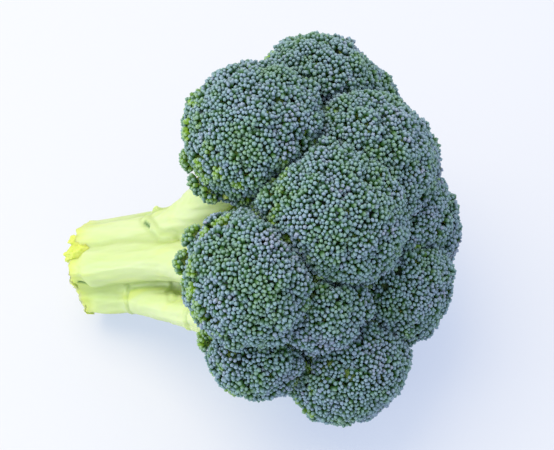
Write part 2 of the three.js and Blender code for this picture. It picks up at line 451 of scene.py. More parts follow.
def new_material(name):
    """A material with its tree and shader."""
    material = bpy.data.materials.new(name)
    material.use_nodes = True
    return material, material.node_tree, material.node_tree.nodes["Principled BSDF"]


def add_ramp(tree, value, stops):
    """The colour that a value picks from a row of stops."""
    ramp = add_node(tree, "ShaderNodeValToRGB", {"Fac": value})
    elements = ramp.color_ramp.elements
    while len(elements) > 1:
        elements.remove(elements[-1])
    elements[0].position = stops[0][0]
    elements[0].color = (*stops[0][1], 1)
    for place, colour in stops[1:]:
        elements.new(place).color = (*colour, 1)
    return ramp


def add_mix(tree, amount, first, second):
    return add_node(tree, "ShaderNodeMix", {"Factor": amount, "A": first, "B": second}, data_type="RGBA")


def add_bump(tree, height, strength, distance):
    return add_node(tree, "ShaderNodeBump", {"Height": height, "Strength": strength, "Distance": distance})


def mottle_group():
    """Shader node group: a soft blotchy value and a fine grain, on Object coordinates."""
    name = "Plant Mottle"
    if name in bpy.data.node_groups:
        return bpy.data.node_groups[name]
    group = bpy.data.node_groups.new(name, "ShaderNodeTree")
    add_inputs(group, (("Blotch Scale", 60.0), ("Grain Scale", 900.0), ("Stretch", 1.0)))
    for label in ("Blotches", "Grain"):
        group.interface.new_socket(label, in_out="OUTPUT", socket_type="NodeSocketFloat")
    numbers = group.nodes.new("NodeGroupInput").outputs
    place = add_node(group, "ShaderNodeTexCoord")
    turned = add_node(
        group, "ShaderNodeMapping", {"Vector": place.outputs["Object"], "Rotation": (0, TILT, 0)})
    stretch = add_node(group, "ShaderNodeCombineXYZ", {"X": numbers["Stretch"], "Y": 1, "Z": 1})
    scaled = add_node(group, "ShaderNodeVectorMath", {0: turned, 1: stretch}, operation="MULTIPLY")
    blotches, grain = (
        add_node(group, "ShaderNodeTexNoise", {"Vector": scaled, "Scale": numbers[label], "Detail": detail})
        for label, detail in (("Blotch Scale", 3), ("Grain Scale", 2)))
    add_node(group, "NodeGroupOutput", {"Blotches": blotches, "Grain": grain})
    return group


def add_mottle(tree, blotch, grain, stretch=1.0):
    """The plant's mottle at its own scales: (blotches, grain)."""
    node = add_node(
        tree, "ShaderNodeGroup", {"Blotch Scale": blotch, "Grain Scale": grain, "Stretch": stretch},
        node_tree=mottle_group())
    return node.outputs["Blotches"], node.outputs["Grain"]


def bud_material(colours):
    """Waxy buds: the map's U is the bud's own tint, and its V runs from the bud's foot to its tip; the feet are
    painted dark as shade between the buds, and the tips are lightened by the wax bloom and a painted highlight.
    """
    material, tree, shader = new_material("Broccoli Buds")
    place = add_node(tree, "ShaderNodeUVMap", uv_map="OFBake")
    split = add_node(tree, "ShaderNodeSeparateXYZ", {"Vector": place})
    tint, height = split.outputs["X"], split.outputs["Y"]
    tops = add_ramp(tree, tint, [
        (0.02, colours.bud_young), (0.14, colours.bud_green), (0.38, colours.bud_teal),
        (0.65, colours.bud_blue), (0.97, colours.bud_purple)])
    # The buds' lower halves are painted dark as the shade that falls between the buds
    feet = add_ramp(tree, tint, [(0.03, colours.bud_young_foot), (0.13, colours.bud_foot_shade)])
    foot_end, body_start, bloom_start, bloom_most = 0.42, 0.80, 0.62, 0.38
    risen = add_node(tree, "ShaderNodeMapRange", {
        "Value": height, "From Min": foot_end, "From Max": body_start})
    # The tips lighten towards the bloom colour: partly the real wax, partly a painted highlight
    bloom_highlight = add_node(tree, "ShaderNodeMapRange", {
        "Value": height, "From Min": bloom_start, "From Max": 1.0, "To Max": bloom_most})
    body = add_mix(tree, risen, feet, tops)
    wax_and_highlight = add_mix(tree, bloom_highlight, body, (*colours.bud_bloom_highlight, 1))
    feed(tree, shader, {"Base Color": wax_and_highlight, "Roughness": 0.45, "Specular IOR Level": 0.25})
    return material


def flesh_material(colours):
    """The flesh that the buds stand in: painted near black as shade between them, green on the underside."""
    material, tree, shader = new_material("Floret Flesh")
    blotches, grain = add_mottle(tree, 150, 1400)
    # Between the buds the flesh is painted near black as shade, with specks of twig green
    deep = add_ramp(tree, blotches, [
        (0.42, colours.flesh_shade_deep), (0.54, colours.flesh_shade_light), (0.62, colours.twig_deep),
        (0.72, colours.twig_pale)])
    green = add_ramp(tree, blotches, [(0.35, colours.twig_deep), (0.65, colours.twig_pale)])
    side = add_node(tree, "ShaderNodeAttribute", attribute_name="underside")
    feed(tree, shader, {
        "Base Color": add_mix(tree, side.outputs["Fac"], deep, green),
        "Normal": add_bump(tree, grain, 0.4, 0.0005), "Roughness": 0.7})
    return material


def stem_material(name, pale, deep):
    """Juicy pale green skin with long soft streaks."""
    material, tree, shader = new_material(name)
    blotches, grain = add_mottle(tree, 70, 1600, 0.22)
    feed(tree, shader, {
        "Base Color": add_ramp(tree, blotches, [(0.34, deep), (0.62, pale)]),
        "Normal": add_bump(tree, grain, 0.15, 0.0004), "Roughness": 0.42,
        "Subsurface Weight": 0.5, "Subsurface Radius": (0.8, 1.0, 0.4), "Subsurface Scale": 0.005})
    return material


def stalk_material(colours):
    """The stalk's skin, with its scars and dry cut end from the mesh's own values, and shade painted into its
    hollows and slits and a highlight painted on its ridges.
    """
    material = stem_material("Stalk Skin", colours.stem_pale, colours.stem_deep)
    tree = material.node_tree
    shader = tree.nodes["Principled BSDF"]
    colour = shader.inputs["Base Color"].links[0].from_socket
    # The ridges get a painted highlight, the hollows and slits painted shade; the scars and the dry end are the
    # skin's own colours
    for label, shade, strength in (
            ("ridge", colours.stem_ridge_highlight, 0.3), ("dryness", colours.stem_dry, 0.85),
            ("hollow", colours.stem_scar_and_shade, 0.4), ("scar", colours.stem_scar_and_shade, 0.75),
            ("slit", colours.stem_slit_shade, 1.0)):
        value = add_node(tree, "ShaderNodeAttribute", attribute_name=label)
        amount = add_math(tree, "MULTIPLY", value.outputs["Fac"], strength)
        colour = add_mix(tree, amount, colour, (*shade, 1))
    feed(tree, shader, {"Base Color": colour})
    return material


# Settings

def colour_setting(name, description, default):
    return FloatVectorProperty(name=name, description=description, subtype="COLOR", default=default)


def length_setting(name, description, default):
    return FloatProperty(name=name, description=description, unit="LENGTH", default=default)


class BroccoliColours(bpy.types.PropertyGroup):
    bud_young: colour_setting("Young Buds", "Colour of the small young buds", (0.22, 0.38, 0.06))
    bud_young_foot: colour_setting(
        "Young Bud Feet", "Colour of the young buds' lower halves", (0.17, 0.33, 0.02))
    bud_green: colour_setting("Green Buds", "Colour of the greenest buds", (0.12, 0.25, 0.10))
    bud_teal: colour_setting("Teal Buds", "Colour of the blue-green buds", (0.15, 0.275, 0.265))
    bud_blue: colour_setting("Blue Buds", "Colour of the grey-blue buds", (0.20, 0.285, 0.37))
    bud_purple: colour_setting("Purple Buds", "Colour of the buds tinged purple", (0.26, 0.265, 0.38))
    # The buds' feet are painted near black as the shade between the buds
    bud_foot_shade: colour_setting("Bud Feet", "Colour of the buds' lower halves", (0.020, 0.085, 0.010))
    # The tips' bloom colour is partly real wax and partly a painted highlight
    bud_bloom_highlight: colour_setting("Bloom", "Colour of the wax on the buds' tips", (0.44, 0.58, 0.73))
    # The flesh between the buds is painted near black as the shade that falls there
    flesh_shade_deep: colour_setting("Deep Flesh", "Darkest colour between the buds", (0.003, 0.018, 0.006))
    flesh_shade_light: colour_setting("Flesh", "Lightest colour between the buds", (0.012, 0.05, 0.01))
    stem_pale: colour_setting("Pale Stem", "Lightest colour of the stalk", (0.52, 0.62, 0.29))
    stem_deep: colour_setting("Deep Stem", "Deepest colour of the stalk", (0.44, 0.57, 0.16))
    stem_dry: colour_setting("Dry Stem", "Colour of the dry cut end", (0.58, 0.66, 0.12))
    stem_dry_deep: colour_setting("Deep Dry Stem", "Deepest colour of the dry slivers", (0.52, 0.59, 0.06))
    # A painted highlight where the skin stands out
    stem_ridge_highlight: colour_setting("Stem Ridge", "Colour of the skin where it stands out", (0.66, 0.72, 0.46))
    # The scar colour is also painted as shade into the skin's hollows
    stem_scar_and_shade: colour_setting("Scars", "Colour of the rings and scars", (0.36, 0.47, 0.13))
    # The slits are painted near-black green as the shade inside them
    stem_slit_shade: colour_setting("Slits", "Colour of the deep slits", (0.04, 0.16, 0.015))
    twig_pale: colour_setting("Pale Twigs", "Lightest colour of the small stems", (0.46, 0.60, 0.14))
    twig_deep: colour_setting("Deep Twigs", "Deepest colour of the small stems", (0.25, 0.42, 0.08))


class BroccoliBuds(bpy.types.PropertyGroup):
    spacing: length_setting("Spacing", "Distance between neighbouring buds", 0.00148)
    width: length_setting("Width", "Width of a bud", 0.00166)
    height: length_setting("Height", "Height of a bud", 0.00260)
    clump_spacing: length_setting("Clump Spacing", "Distance between the small clumps of buds", 0.0046)
    clump_dome: length_setting("Clump Dome", "Radius of the dome that a clump's buds stand on", 0.0030)
    crease_depth: length_setting("Crease Depth", "How far down between two florets the buds go on", 0.010)
    crease_gap: length_setting("Crease Gap", "Distance between the flesh of two neighbouring florets", 0.0008)
    flesh_depth: length_setting("Flesh Depth", "How deep under the clumps the flesh lies", 0.0029)
    seed: IntProperty(name="Seed", description="Seed of every random draw of the buds", default=7)


class BroccoliStage(bpy.types.PropertyGroup):
    azimuth: FloatProperty(
        name="Azimuth", description="Where the camera stands round the head", subtype="ANGLE",
        default=math.radians(12))
    elevation: FloatProperty(
        name="Elevation", description="How far the camera looks down", subtype="ANGLE",
        default=math.radians(53))
    distance: length_setting("Distance", "From the camera to the crown's centre", 0.507)
    lens: FloatProperty(name="Lens", description="Focal length in millimetres", default=85.0)
    floor_colour: colour_setting("Table", "Colour of the table", (0.38, 0.34, 0.24))
    floor_glow: colour_setting("Table Glow", "Light that the table itself sends out", (0.405, 0.478, 0.69))


# Node trees that repeat a shape

def new_tree(name, numbers):
    """A Geometry Nodes tree with named numbers: (tree, its input node, its output node)."""
    tree = bpy.data.node_groups.new(name, "GeometryNodeTree")
    tree.interface.new_socket("Geometry", in_out="INPUT", socket_type="NodeSocketGeometry")
    add_inputs(tree, numbers)
    tree.interface.new_socket("Seed", in_out="INPUT", socket_type="NodeSocketInt")
    tree.interface.new_socket("Geometry", in_out="OUTPUT", socket_type="NodeSocketGeometry")
    return tree, tree.nodes.new("NodeGroupInput"), tree.nodes.new("NodeGroupOutput")


def read_values(tree, label, kind):
    return add_node(tree, "GeometryNodeInputNamedAttribute", {"Name": label}, data_type=kind)


def stand_copies(tree, ends, shape, sizes, material, rounded):
    """Ends a tree: a copy of the shape on every point, along its facing and turned at random."""
    inputs, outputs = ends
    lean = add_node(
        tree, "FunctionNodeAlignRotationToVector",
        {"Vector": read_values(tree, "facing", "FLOAT_VECTOR")}, axis="Z")
    turn = add_node(
        tree, "FunctionNodeRandomValue",
        {"Max": 2 * math.pi, "Seed": inputs.outputs["Seed"]}, data_type="FLOAT")
    spin = add_node(tree, "FunctionNodeAxisAngleToRotation", {"Angle": turn})
    turned = add_node(tree, "FunctionNodeRotateRotation", {
        "Rotation": lean, "Rotate By": spin}, rotation_space="LOCAL")
    scale = add_node(tree, "ShaderNodeCombineXYZ", dict(zip("XYZ", sizes)))
    smooth = add_node(tree, "GeometryNodeSetShadeSmooth", {"Geometry": shape, "Shade Smooth": rounded})
    copies = add_node(tree, "GeometryNodeInstanceOnPoints", {
        "Points": inputs.outputs["Geometry"], "Instance": smooth, "Rotation": turned, "Scale": scale})
    real = add_node(tree, "GeometryNodeRealizeInstances", {"Geometry": copies})
    finish = add_node(tree, "GeometryNodeSetMaterial", {"Geometry": real, "Material": material})
    feed(tree, outputs, {"Geometry": finish})
    return tree


def bud_tree(material):
    """A bud on every point: a small bead with a full foot, a crest a little above a ball's and a blunt tip."""
    tree, inputs, outputs = new_tree("Broccoli Buds", (
        ("Bud Width", 0.0016), ("Bud Height", 0.0022), ("Size Spread", 0.16), ("Pinch", 0.42)))
    full_foot, crest_rise = 1.22, 0.07
    ball = add_node(tree, "GeometryNodeMeshUVSphere", {"Segments": 5, "Rings": 3, "Radius": 0.5})
    place = add_node(tree, "GeometryNodeInputPosition")
    split = add_node(tree, "ShaderNodeSeparateXYZ", {"Vector": place})
    height = add_math(tree, "ADD", split.outputs["Z"], 0.5)
    pinch = add_math(tree, "MULTIPLY", add_math(tree, "POWER", height, 2.0), inputs.outputs["Pinch"])
    width = add_math(tree, "SUBTRACT", full_foot, pinch)
    wave = add_math(tree, "SINE", add_math(tree, "MULTIPLY", height, math.pi), 0.0)
    shaped = add_node(tree, "ShaderNodeCombineXYZ", {
        "X": add_math(tree, "MULTIPLY", split.outputs["X"], width),
        "Y": add_math(tree, "MULTIPLY", split.outputs["Y"], width),
        "Z": add_math(tree, "ADD", split.outputs["Z"], add_math(tree, "MULTIPLY", wave, crest_rise))})
    move = add_node(tree, "GeometryNodeSetPosition", {"Geometry": ball, "Position": shaped})
    keep = add_node(tree, "GeometryNodeStoreNamedAttribute", {
        "Geometry": move, "Name": "bud_height", "Value": height}, data_type="FLOAT", domain="POINT")

    size = read_values(tree, "size", "FLOAT")
    sizes = []
    for step, label in enumerate(("Bud Width", "Bud Width", "Bud Height")):
        spread = add_node(tree, "FunctionNodeRandomValue", {
            "Min": add_math(tree, "SUBTRACT", 1.0, inputs.outputs["Size Spread"]),
            "Max": add_math(tree, "ADD", 1.0, inputs.outputs["Size Spread"]),
            "Seed": add_math(tree, "ADD", inputs.outputs["Seed"], step)}, data_type="FLOAT")
        grown = add_math(tree, "MULTIPLY", size, inputs.outputs[label])
        sizes.append(add_math(tree, "MULTIPLY", spread, grown))
    return stand_copies(tree, (inputs, outputs), keep, sizes, material, False)


def stem_tree(material):
    """A small stem on every point, up to the clump of buds that it carries, wider where longer."""
    tree, inputs, outputs = new_tree("Clump Stems", (("Foot Width", 0.0014), ("Top Width", 0.0030)))
    least_width, width_by_length = 0.86, 50.0
    cone = add_node(tree, "GeometryNodeMeshCone", {
        "Vertices": 6, "Depth": 1.0,
        "Radius Bottom": add_math(tree, "MULTIPLY", inputs.outputs["Foot Width"], 0.5),
        "Radius Top": add_math(tree, "MULTIPLY", inputs.outputs["Top Width"], 0.5)}, fill_type="NONE")
    size = read_values(tree, "size", "FLOAT")
    width = add_math(tree, "ADD", least_width, add_math(tree, "MULTIPLY", size, width_by_length))
    return stand_copies(tree, (inputs, outputs), cone, (width, width, size), material, True)


def set_input(modifier, label, value):
    for item in modifier.node_group.interface.items_tree:
        if item.item_type == "SOCKET" and item.in_out == "INPUT" and item.name == label:
            modifier[item.identifier] = value


def grow_on_points(name, points, values, tree, numbers, material):
    """Runs a tree on points with their own values, and keeps the plain mesh that it makes."""
    piece = make_mesh_object(name, points, [], material)
    for label, each in values.items():
        store_values(piece.data, label, each)
    modifier = piece.modifiers.new("Grow", "NODES")
    modifier.node_group = tree
    for label, value in numbers.items():
        set_input(modifier, label, value)
    return make_plain(piece, material)


# The buds

# The least distance between two neighbours, as a share of their spacing
CLOSEST_CLUMPS = 0.86
CLOSEST_BUDS = 0.76


def search_tree(points):
    tree = KDTree(len(points))
    for i, point in enumerate(points):
        tree.insert(point, i)
    tree.balance()
    return tree


def thin_out(points, apart, order):
    """Picks points in the order given, none nearer than that to one picked before."""
    tree = search_tree(points)
    free = np.ones(len(points), bool)
    chosen = []
    for i in order:
        if free[i]:
            chosen.append(i)
            for _, near, _ in tree.find_range(points[i], apart):
                free[near] = False
    return np.array(chosen)


# Small sprigs that stand out from a rim on their own stalks:
# floret, direction in the head's own frame (along the axis, up, front),
# distance from the floret's centre, clumps
SPRIGS = (
    ("rim_front_high", (-0.62, 0.75, -0.21), 27.5, 5),
    ("rim_front_high", (-0.79, 0.61, 0.09), 27.0, 5),
    ("rim_front_high", (-0.85, -0.10, 0.50), 24.5, 3),
    ("rim_top", (-0.68, 0.73, -0.12), 27.5, 5),
    ("rim_top", (-0.77, 0.64, 0.05), 27.0, 4),
    ("rim_top", (-0.85, 0.25, 0.46), 28.0, 4),
    ("rim_top", (-0.72, 0.02, 0.71), 29.0, 6),
    ("rim_top", (-0.60, -0.08, 0.81), 28.5, 6),
    ("rim_front_side", (-0.80, 0.59, 0.13), 20.0, 4),
    ("rim_front_side", (-0.95, -0.20, 0.25), 18.5, 3),
    ("rim_back", (-0.92, -0.20, -0.30), 25.5, 4),
    ("rim_bottom_back", (-0.88, 0.10, -0.45), 25.0, 4),
    ("rim_back_high", (-0.90, 0.30, -0.25), 25.0, 4),
)
# How far a sprig's clumps lean apart, and in millimetres how far below its top they part, how long they are
# from there, and how far below its top its stalk starts
SPRIG_SPREAD = 0.62
SPRIG_DROP = 3.2
SPRIG_REACH = 4.6
SPRIG_LENGTH = 9.0
SPRIG_YOUTH = 0.7


def place_clumps(floret, settings):
    """Where the small clumps of buds stand, spread evenly but not in rows: (points, facing, feet, young)."""
    # how much finer the tries are than the clumps, the rim's raggedness and width in degrees,
    # and how far under the flesh's surface the stems start, in millimetres
    finer, rim_rag, rim_band, buried = 5, 7.0, 14, 0.6
    apart = settings.clump_spacing / MM
    gap = settings.crease_gap / MM
    rng = np.random.default_rng(settings.seed * 100 + floret.index)
    tries = even_directions(count_at(apart / finer, floret.radius))
    directions = unit(tries + rng.normal(scale=0.01, size=(1, 3)))
    ball, walled, reach = reach_of(floret, directions, gap)
    rag = soft_noise(directions * floret.radius, 9.0, SEEDS["rim"] + floret.index)
    angle = rim_angles(floret, directions)
    keep = (ball - walled < settings.crease_depth / MM) & (angle < RIM_ANGLE + rim_rag * rag)
    points = floret.centre + directions * reach[:, None]
    keep &= points[:, 2] > LOWEST_CLUMP
    points, directions, angle = points[keep], directions[keep], angle[keep]
    chosen = thin_out(points, apart * CLOSEST_CLUMPS, rng.permutation(len(points)))
    young = young_patches(floret, directions[chosen], ball[keep][chosen], walled[keep][chosen])
    points, directions, angle = points[chosen], directions[chosen], angle[chosen]
    normals = surface_normals(floret, directions, gap)
    facing = unit(0.75 * normals + 0.25 * directions + rng.normal(scale=0.12, size=points.shape))
    rim = limit((angle - RIM_ANGLE + rim_band) / 12)
    lift = rng.normal(scale=0.5, size=len(points)) + rim * rng.uniform(-0.4, 1.9, len(points))
    points = points + facing * np.clip(lift, -0.8, 1.9)[:, None]
    feet = points - facing * (settings.flesh_depth / MM + buried)

    for name, way, distance, count in SPRIGS:
        if name == floret.name:
            way = unit(AXIS * way[0] + UP * way[1] + FRONT * way[2])
            first, second = side_vectors(way[None])
            turns = 2 * math.pi * (np.arange(count) + rng.random()) / count
            fan = unit(way + SPRIG_SPREAD * (np.cos(turns)[:, None] * first + np.sin(turns)[:, None] * second))
            tips = floret.centre + way * (distance - SPRIG_DROP) + fan * SPRIG_REACH
            foot = floret.centre + way * (distance - SPRIG_LENGTH) - floret.grow * 4.0
            points = np.concatenate([points, tips])
            facing = np.concatenate([facing, fan])
            feet = np.concatenate([feet, np.repeat(foot[None], count, axis=0)])
            young = np.concatenate([young, np.full(count, SPRIG_YOUTH)])
    keep_above(feet, LOWEST_FOOT)
    return points, facing, feet, young


def place_buds(floret, settings):
    """Each clump's buds on its own small dome: (points, facing, size, young)."""
    clumps, axes, _, young = place_clumps(floret, settings)
    rng = np.random.default_rng(settings.seed * 1000 + floret.index)
    spacing = settings.spacing / MM
    dome = settings.clump_dome / MM
    most, fewer_young = 18, 10  # buds in a clump, and how many fewer in a young one
    lowest = 0.62 * settings.height / MM
    first, second = side_vectors(axes)
    steps = np.arange(most)[None, :] + rng.uniform(0.15, 0.6, (len(clumps), most))
    out = 0.525 * spacing * np.sqrt(steps)
    turn = GOLDEN_TURN * np.arange(most)[None, :] + rng.uniform(0, 7, (len(clumps), 1))
    turn += rng.normal(scale=0.12, size=turn.shape)
    radial = np.cos(turn)[..., None] * first[:, None] + np.sin(turn)[..., None] * second[:, None]
    drop = out ** 2 / (2 * dome)
    points = clumps[:, None] + radial * out[..., None] - axes[:, None] * drop[..., None]
    facing = axes[:, None] + radial * (0.9 * out / dome)[..., None]
    facing = unit(facing + rng.normal(scale=0.33, size=points.shape))
    few = np.arange(most)[None, :] < (most - fewer_young * young)[:, None]
    points, facing, out, young = points[few], facing[few], out[few], np.repeat(young[:, None], most, 1)[few]
    chosen = thin_out(points, CLOSEST_BUDS * spacing, np.argsort(out, kind="stable"))
    points, facing, young = points[chosen], facing[chosen], young[chosen]
    keep_above(points, lowest)
    near = search_tree(points)
    room = np.array([np.mean([d for _, _, d in near.find_n(point, 5)[1:]]) for point in points])
    size = np.clip(room / spacing, 0.85, 1.12) * rng.uniform(0.92, 1.08, len(points))
    points += facing * rng.normal(scale=0.16, size=(len(points), 1))
    keep_above(points, lowest)
    return points, facing, size, young


def bud_tints(points, young, rng):
    """Each bud's place in the palette, from young green to purple, in soft patches."""
    patches = (
        0.5 + 0.15 * soft_noise(points, 30.0, SEEDS["tint"])
        + 0.10 * soft_noise(points, 9.0, SEEDS["fine tint"]))
    shade = 0.06 * (CROWN_CENTRE[2] - points[:, 2]) / 60
    greenest, most_purple, young_tint = 0.14, 0.98, 0.02
    tints = np.clip(patches + shade + rng.normal(scale=0.12, size=len(points)), greenest, most_purple)
    fresh = limit(1.5 * young - 0.2 + rng.normal(scale=0.2, size=len(points)))
    return tints + (young_tint - tints) * fresh


def palette_map(mesh):
    """Gives a mesh of buds its map: U from each bud's tint, V from its height."""
    count = len(mesh.vertices)
    heights, tints = np.empty(count), np.empty(count)
    mesh.attributes["bud_height"].data.foreach_get("value", heights)
    mesh.attributes["tint"].data.foreach_get("value", tints)
    corners = np.empty(len(mesh.loops), int)
    mesh.loops.foreach_get("vertex_index", corners)
    layer = mesh.uv_layers.get("OFBake") or mesh.uv_layers.new(name="OFBake")
    across = 0.008 * np.sin(np.arange(count) * 2.1)
    u = np.clip(tints + across, 0.005, 0.995)
    v = 0.02 + 0.96 * limit(heights)
    layer.data.foreach_set("uv", np.stack([u[corners], v[corners]], 1).ravel())
    drop_values(mesh, ("bud_height", "tint", "facing", "size", "UVMap"))


def build_buds(floret, settings, tree, material):
    points, facing, size, young = place_buds(floret, settings)
    rng = np.random.default_rng(settings.seed * 10 + floret.index)
    values = {"facing": facing, "size": size, "tint": bud_tints(points, young, rng)}
    numbers = {"Bud Width": settings.width, "Bud Height": settings.height, "Seed": settings.seed + floret.index}
    piece = grow_on_points(f"floret_{floret.name}_buds", points, values, tree, numbers, material)
    palette_map(piece.data)
    return piece


def build_flesh(floret, settings, material):
    """The flesh under the buds, down to the neck."""
    shape = bmesh.new()
    bmesh.ops.create_icosphere(shape, subdivisions=5, radius=1.0)
    shape.verts.ensure_lookup_table()
    directions = unit(np.array([v.co[:] for v in shape.verts]))
    gap, depth = settings.crease_gap / MM, settings.flesh_depth / MM
    ball, walled, reach = reach_of(floret, directions, gap)
    underside = limit((rim_angles(floret, directions) - RIM_ANGLE + 16) / 10)
    patches = young_patches(floret, directions, ball, walled)
    underside = np.maximum(underside, 0.9 * patches)
    raised = 0.25 * depth * patches
    reach = np.minimum(reach - depth + raised, underside_reach(floret, directions, depth))
    points = floret.centre + directions * reach[:, None]
    keep_above(points, LOWEST_FLESH)
    for vertex, point in zip(shape.verts, points):
        vertex.co = point * MM
    name = f"floret_{floret.name}_flesh"
    mesh = bpy.data.meshes.new(name)
    shape.to_mesh(mesh)
    shape.free()
    store_values(mesh, "underside", underside)
    mesh.materials.append(material)
    shade_smooth(mesh)
    return add_object(name, mesh)


# The small stems inside and under a floret

SMALL_FLORET = 21  # millimetres of radius, under which a floret has fewer twigs
# Radius at both ends of a twig's foot and of its two arms, in millimetres, and rings along them
TWIG_FOOT = (2.7, 2.2, 5)
TWIG_ARM = (1.9, 1.1, 6)


def rim_direction(floret, turn, angle):
    """The direction at a turn round the floret's own axis and an angle from it."""
    first, second = side_vectors(floret.grow[None])
    outwards = math.cos(turn) * first[0] + math.sin(turn) * second[0]
    return math.cos(math.radians(angle)) * floret.grow + math.sin(math.radians(angle)) * outwards, outwards


def twig_rods(floret, settings):
    """Forked twigs along the underside, from the neck out to the rim."""
    rng = np.random.default_rng(SEEDS["twigs"] + floret.index)
    gap, depth = settings.crease_gap / MM, settings.flesh_depth / MM
    count = 7 if floret.radius < SMALL_FLORET else 9
    shapes = []

    def lay(start, end, thick, thin, steps):
        path = bezier(start, start * 0.65 + end * 0.35, start * 0.3 + end * 0.7, end, steps)
        directions = unit(path - floret.centre)
        _, _, reach = reach_of(floret, directions, gap)
        far = np.linalg.norm(path - floret.centre, axis=1)
        path = floret.centre + directions * np.minimum(far, reach - 0.8)[:, None]
        keep_above(path, thick + 0.2)
        shapes.append(rod(path, np.linspace(thick, thin, steps), 7))

    step = 2 * math.pi / count
    for i in range(count):
        turn = step * (i + rng.uniform(-0.18, 0.18))
        direction, outwards = rim_direction(floret, turn, RIM_ANGLE - 4)
        start = floret.neck + outwards * 0.72 * floret.neck_radius - floret.grow * 1.5
        rim = floret.centre + direction * (floret.radius - depth)
        fork = start + (rim - start) * rng.uniform(0.36, 0.5)
        lay(start, fork, *TWIG_FOOT)
        for side in (-1, 1):
            tip, _ = rim_direction(floret, turn + side * rng.uniform(0.22, 0.34) * step, RIM_ANGLE - 8)
            lay(fork, floret.centre + tip * (floret.radius - 0.6 * depth), *TWIG_ARM)
    return shapes


def add_shapes(piece, shapes):
    """Joins rods in millimetres to a finished piece."""
    vertices, faces = join_shapes(shapes)
    rods = bpy.data.meshes.new("rods")
    rods.from_pydata((vertices * MM).tolist(), [], faces)
    both = bmesh.new()
    both.from_mesh(piece.data)
    both.from_mesh(rods)
    both.to_mesh(piece.data)
    both.free()
    bpy.data.meshes.remove(rods)
    shade_smooth(piece.data)
    return piece


def build_stems(floret, settings, tree, material):
    """The stem of each clump of buds, and the forked twigs of the underside."""
    clumps, _, feet, _ = place_clumps(floret, settings)
    reach = clumps - feet
    length = np.linalg.norm(reach, axis=1)
    short = 0.9  # millimetres that a stem ends below its clump
    values = {"facing": reach / length[:, None], "size": (length - short) * MM}
    numbers = {"Seed": settings.seed + floret.index}
    piece = grow_on_points(f"floret_{floret.name}_stems", feet, values, tree, numbers, material)
    drop_values(piece.data, ("facing", "size", "UVMap"))
    return add_shapes(piece, twig_rods(floret, settings))


# The stalk

# How far short of the cut end a column stops, where its own leaf was torn off
SHORT_COLUMNS = {"rim_front_high": 9.0, "rim_front_side": 5.0}

# Rings where leaves fell: floret, share of the branch's length, how far the ring leans, height
RINGS = (
    ("rim_front_side", 0.33, 0.10, 0.50),
    ("rim_front_side", 0.76, 0.15, 0.40),
    ("rim_front_low", 0.47, 0.0, 0.55),
    ("rim_bottom", 0.50, 0.2, 0.60),
    ("rim_back", 0.46, -0.2, 0.60),
    ("rim_bottom_back", 0.62, 0.1, 0.50),
    ("rim_back_high", 0.55, 0.3, 0.55),
)

# Raised scar lines on the skin, through places given along the axis, out from it and round it
SCAR_LINES = (
    ((-60.5, 21.3, 334), (-60.8, 20.3, 345), (-56, 19.4, 0), (-50.8, 18.3, 15), (-45, 19.0, 20)),
    ((-53, 16.5, 88), (-50, 20.5, 84), (-48.3, 24.6, 80)),
)

# Deep slits beside the scars, painted dark green as the shade inside them, given in the same way
SLITS = (
    ((-60.2, 20.2, 352), (-57.0, 19.8, 0)),
    ((-94.0, 15.5, 62), (-91.2, 15.5, 68)),
    ((-60.2, 22.6, 322), (-60.4, 22.6, 330)),
)

# The stump of a leaf's stalk: where it starts and ends, and its radii
STUMP = ((-57.5, 16.0, 328), (-59.5, 21.9, 326), 2.6, 1.9)

# The fused skins: voxels in metres, rounds of smoothing for the skin and for finding its hollows, and the
# depth in millimetres at which a hollow's painted shade is full
SKIN_VOXEL = 0.00098
FIBRE_VOXEL = 0.0006
SKIN_ROUNDS = 10
HOLLOW_ROUNDS = 60
HOLLOW_DEPTH = 0.7
FIBRES = 16


def branch_path(floret):
    """The branch's middle line and its radius at each step."""
    if floret.root_along != INNER_ROOT:
        turn, ring, thick = SEATS.get(floret.name, (floret.turn, COLUMN_RING, COLUMN_RADIUS))
        start = CUT_END - 4
    else:
        turn, ring, thick = floret.turn, INNER_RING, INNER_RADIUS
        start = FORK - 30
    end = floret.neck + floret.grow * 2.0
    bend = spot(floret.root_along, ring, turn)
    lead = np.linalg.norm(floret.neck - bend)
    straight = np.linspace(spot(start, ring * 0.95, turn), bend, 12)[:-1]
    leave, arrive = (0.1, 0.2) if floret.root_along == LOW_ROOT else (0.3, 0.35)
    curved = bezier(bend, bend + AXIS * lead * leave, end - floret.grow * lead * arrive, end, 24)
    shares = np.linspace(0, 1, 60)
    points = along_path(np.concatenate([straight, curved]), shares)
    thin = BRANCH_SHARE * floret.radius
    radii = thick + (thin - thick) * shares + CUT_FLARE * np.maximum(0, 0.12 - shares)
    if floret.name in SHORT_COLUMNS:
        far = (points - CROWN_CENTRE) @ AXIS - (CUT_END + SHORT_COLUMNS[floret.name])
        step = np.sqrt(1 - (1 - limit(far / 5.0)) ** 2)
        radii = radii * (0.74 + 0.26 * step)
    return points, radii


def line_distance(points, corners):
    """Each point's distance from a line through corners."""
    nearest = np.full(len(points), 1e9)
    for a, b in zip(corners[:-1], corners[1:]):
        t = limit((points - a) @ (b - a) / ((b - a) @ (b - a)))
        nearest = np.minimum(nearest, np.linalg.norm(points - a - t[:, None] * (b - a), axis=1))
    return nearest


def hollows(mesh, points, normals, rounds):
    """How deep each point lies in a hollow of the skin, in millimetres; ridges come out below zero."""
    ends = np.empty(len(mesh.edges) * 2, int)
    mesh.edges.foreach_get("vertices", ends)
    one, other = ends.reshape(-1, 2).T
    count = len(points)
    links = np.bincount(one, minlength=count) + np.bincount(other, minlength=count)
    smooth = points.copy()
    for _ in range(rounds):
        for k in range(3):
            column = smooth[:, k]
            total = np.bincount(one, column[other], count) + np.bincount(other, column[one], count)
            smooth[:, k] = total / np.maximum(links, 1)
    return np.einsum("ij,ij->i", smooth - points, normals)


def swell(away, width):
    """How much of a soft bump is left at a distance from its middle: 1 to 0."""
    return np.exp(-(away / width) ** 2)


